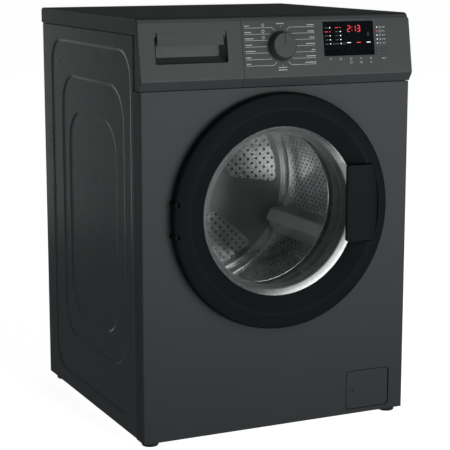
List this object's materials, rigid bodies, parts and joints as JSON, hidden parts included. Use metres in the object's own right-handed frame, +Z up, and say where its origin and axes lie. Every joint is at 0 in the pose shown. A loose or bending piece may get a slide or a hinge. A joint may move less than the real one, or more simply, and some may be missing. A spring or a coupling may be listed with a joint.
{
  "type": "front load washing machine",
  "caption": "Dark grey front-loading washing machine with a black-rimmed glass door, detergent drawer, programme knob, display, keys, suspended drum and belt drive.",
  "frame": {"origin": "on the floor under the middle of the machine's box", "axes": "+Z up, the front faces -Y, +X is the viewer's right when facing the front"},
  "size_m": [0.6, 0.612, 0.85],
  "materials": {
    "front_paint": "satin",
    "side_paint": "satin",
    "worktop": "satin",
    "fascia_plastic": "satin",
    "display_gloss": "gloss",
    "circuit_board": "satin",
    "grey_plastic": "matte",
    "pale_plastic": "satin",
    "door_plastic": "satin",
    "door_glass": "gloss",
    "hinge_steel": "satin",
    "black_plastic": "matte",
    "bellows_rubber": "matte",
    "tub_plastic": "matte",
    "concrete": "matte",
    "stainless_steel": "satin",
    "motor_steel": "satin",
    "belt_rubber": "matte",
    "zinc_steel": "satin",
    "lifter_plastic": "satin",
    "cast_aluminium": "matte",
    "foot_rubber": "matte"
  },
  "bodies": {
    "cabinet": {"base_tray": "zinc_steel", "left_side_panel": "side_paint", "right_side_panel": "side_paint", "rear_panel": "zinc_steel", "rear_cover": "zinc_steel", "front_panel": "front_paint", "worktop": "worktop", "control_panel": "fascia_plastic", "display_window": "display_gloss", "display_board": "circuit_board", "dispenser_housing": "grey_plastic", "door_hinge": "hinge_steel", "door_lock": "black_plastic", "bellows": "bellows_rubber", "inlet_valve": "pale_plastic", "cable_gland": "black_plastic", "drain_pump": "pale_plastic", "damper_left_cylinder": "grey_plastic", "damper_right_cylinder": "grey_plastic", "suspension_spring_left": "zinc_steel", "suspension_spring_right": "zinc_steel"},
    "foot_front_left": {"foot_front_left": "foot_rubber"},
    "foot_front_right": {"foot_front_right": "foot_rubber"},
    "foot_rear_left": {"foot_rear_left": "foot_rubber"},
    "foot_rear_right": {"foot_rear_right": "foot_rubber"},
    "tub": {"tub_front": "tub_plastic", "tub_rear": "tub_plastic", "front_counterweight": "concrete", "top_counterweight": "concrete", "heating_element": "stainless_steel", "motor": "motor_steel", "drive_belt": "belt_rubber", "front_bearing": "stainless_steel", "rear_bearing": "stainless_steel", "damper_left_rod": "pale_plastic", "damper_right_rod": "pale_plastic"},
    "drum": {"drum_shell": "stainless_steel", "lifter_1": "lifter_plastic", "lifter_2": "lifter_plastic", "lifter_3": "lifter_plastic", "spider": "cast_aluminium", "drum_shaft": "motor_steel", "drum_pulley": "cast_aluminium"},
    "motor_pulley": {"motor_pulley": "motor_steel"},
    "drawer": {"drawer_front": "fascia_plastic", "drawer_tray": "pale_plastic"},
    "programme_knob": {"programme_knob": "fascia_plastic"},
    "key_1": {"key_1": "display_gloss"},
    "key_2": {"key_2": "display_gloss"},
    "key_3": {"key_3": "display_gloss"},
    "key_4": {"key_4": "display_gloss"},
    "key_5": {"key_5": "display_gloss"},
    "start_button": {"start_button": "fascia_plastic"},
    "filter_flap": {"filter_flap": "front_paint"},
    "pump_filter": {"pump_filter": "grey_plastic"},
    "door": {"door_outer_ring": "door_plastic", "door_inner_ring": "door_plastic", "door_glass": "door_glass"},
    "door_handle": {"door_handle": "door_plastic"},
    "door_hook": {"door_hook": "zinc_steel"}
  },
  "joints": [
    {"name": "foot_front_left_levelling", "type": "slide", "parent": "cabinet", "child": "foot_front_left", "axis": [0, 0, -1], "range_m": [0, 0.012]},
    {"name": "foot_front_right_levelling", "type": "slide", "parent": "cabinet", "child": "foot_front_right", "axis": [0, 0, -1], "range_m": [0, 0.012]},
    {"name": "foot_rear_left_levelling", "type": "slide", "parent": "cabinet", "child": "foot_rear_left", "axis": [0, 0, -1], "range_m": [0, 0.012]},
    {"name": "foot_rear_right_levelling", "type": "slide", "parent": "cabinet", "child": "foot_rear_right", "axis": [0, 0, -1], "range_m": [0, 0.012]},
    {"name": "tub_bounce", "type": "slide", "parent": "cabinet", "child": "tub", "axis": [0, 0, 1], "range_m": [-0.008, 0.008], "stiffness_N_per_m": 15000, "springref_m": 0.0318, "deforming": ["suspension_spring_left", "suspension_spring_right", "bellows"]},
    {"name": "drum_spin", "type": "hinge", "parent": "tub", "child": "drum", "pos_m": [0, -0.024, 0.46], "axis": [0, 1, 0], "continuous": true},
    {"name": "motor_spin", "type": "hinge", "parent": "tub", "child": "motor_pulley", "pos_m": [-0.03, 0.239, 0.128], "axis": [0, 1, 0], "continuous": true},
    {"name": "drawer_slide", "type": "slide", "parent": "cabinet", "child": "drawer", "axis": [0, -1, 0], "range_m": [0, 0.19]},
    {"name": "programme_turn", "type": "hinge", "parent": "cabinet", "child": "programme_knob", "pos_m": [0.003, -0.27382, 0.79], "axis": [0, -0.9859, 0.1673], "continuous": true},
    {"name": "key_1_press", "type": "slide", "parent": "cabinet", "child": "key_1", "axis": [0, 0.9859, -0.1673], "range_m": [0, 0.0015], "stiffness_N_per_m": 600, "springref_m": -0.001},
    {"name": "key_2_press", "type": "slide", "parent": "cabinet", "child": "key_2", "axis": [0, 0.9859, -0.1673], "range_m": [0, 0.0015], "stiffness_N_per_m": 600, "springref_m": -0.001},
    {"name": "key_3_press", "type": "slide", "parent": "cabinet", "child": "key_3", "axis": [0, 0.9859, -0.1673], "range_m": [0, 0.0015], "stiffness_N_per_m": 600, "springref_m": -0.001},
    {"name": "key_4_press", "type": "slide", "parent": "cabinet", "child": "key_4", "axis": [0, 0.9859, -0.1673], "range_m": [0, 0.0015], "stiffness_N_per_m": 600, "springref_m": -0.001},
    {"name": "key_5_press", "type": "slide", "parent": "cabinet", "child": "key_5", "axis": [0, 0.9859, -0.1673], "range_m": [0, 0.0015], "stiffness_N_per_m": 600, "springref_m": -0.001},
    {"name": "start_press", "type": "slide", "parent": "cabinet", "child": "start_button", "axis": [0, 0.9859, -0.1673], "range_m": [0, 0.0015], "stiffness_N_per_m": 600, "springref_m": -0.001},
    {"name": "filter_flap_hinge", "type": "hinge", "parent": "cabinet", "child": "filter_flap", "pos_m": [0.262, -0.271, 0.062], "axis": [0, 0, 1], "range_deg": [0, 60]},
    {"name": "pump_filter_twist", "type": "hinge", "parent": "cabinet", "child": "pump_filter", "pos_m": [0.212, -0.234, 0.062], "axis": [0, -1, 0], "range_deg": [0, 90]},
    {"name": "door_swing", "type": "hinge", "parent": "cabinet", "child": "door", "pos_m": [-0.234, -0.2905, 0.46], "axis": [0, 0, -1], "range_deg": [0, 150]},
    {"name": "handle_pull", "type": "hinge", "parent": "door", "child": "door_handle", "pos_m": [0.19, -0.291, 0.4685], "axis": [0, 0, 1], "range_deg": [0, 12], "stiffness_Nm_per_rad": 2, "springref_deg": -11.46},
    {"name": "hook_release", "type": "hinge", "parent": "door", "child": "door_hook", "pos_m": [0.192, -0.2822, 0.46], "axis": [0, 0, -1], "range_deg": [0, 12]}
  ],
  "couplings": [
    {"joint": "motor_spin", "follows": "drum_spin", "ratio": 13.182},
    {"joint": "hook_release", "follows": "handle_pull", "ratio": 1}
  ]
}
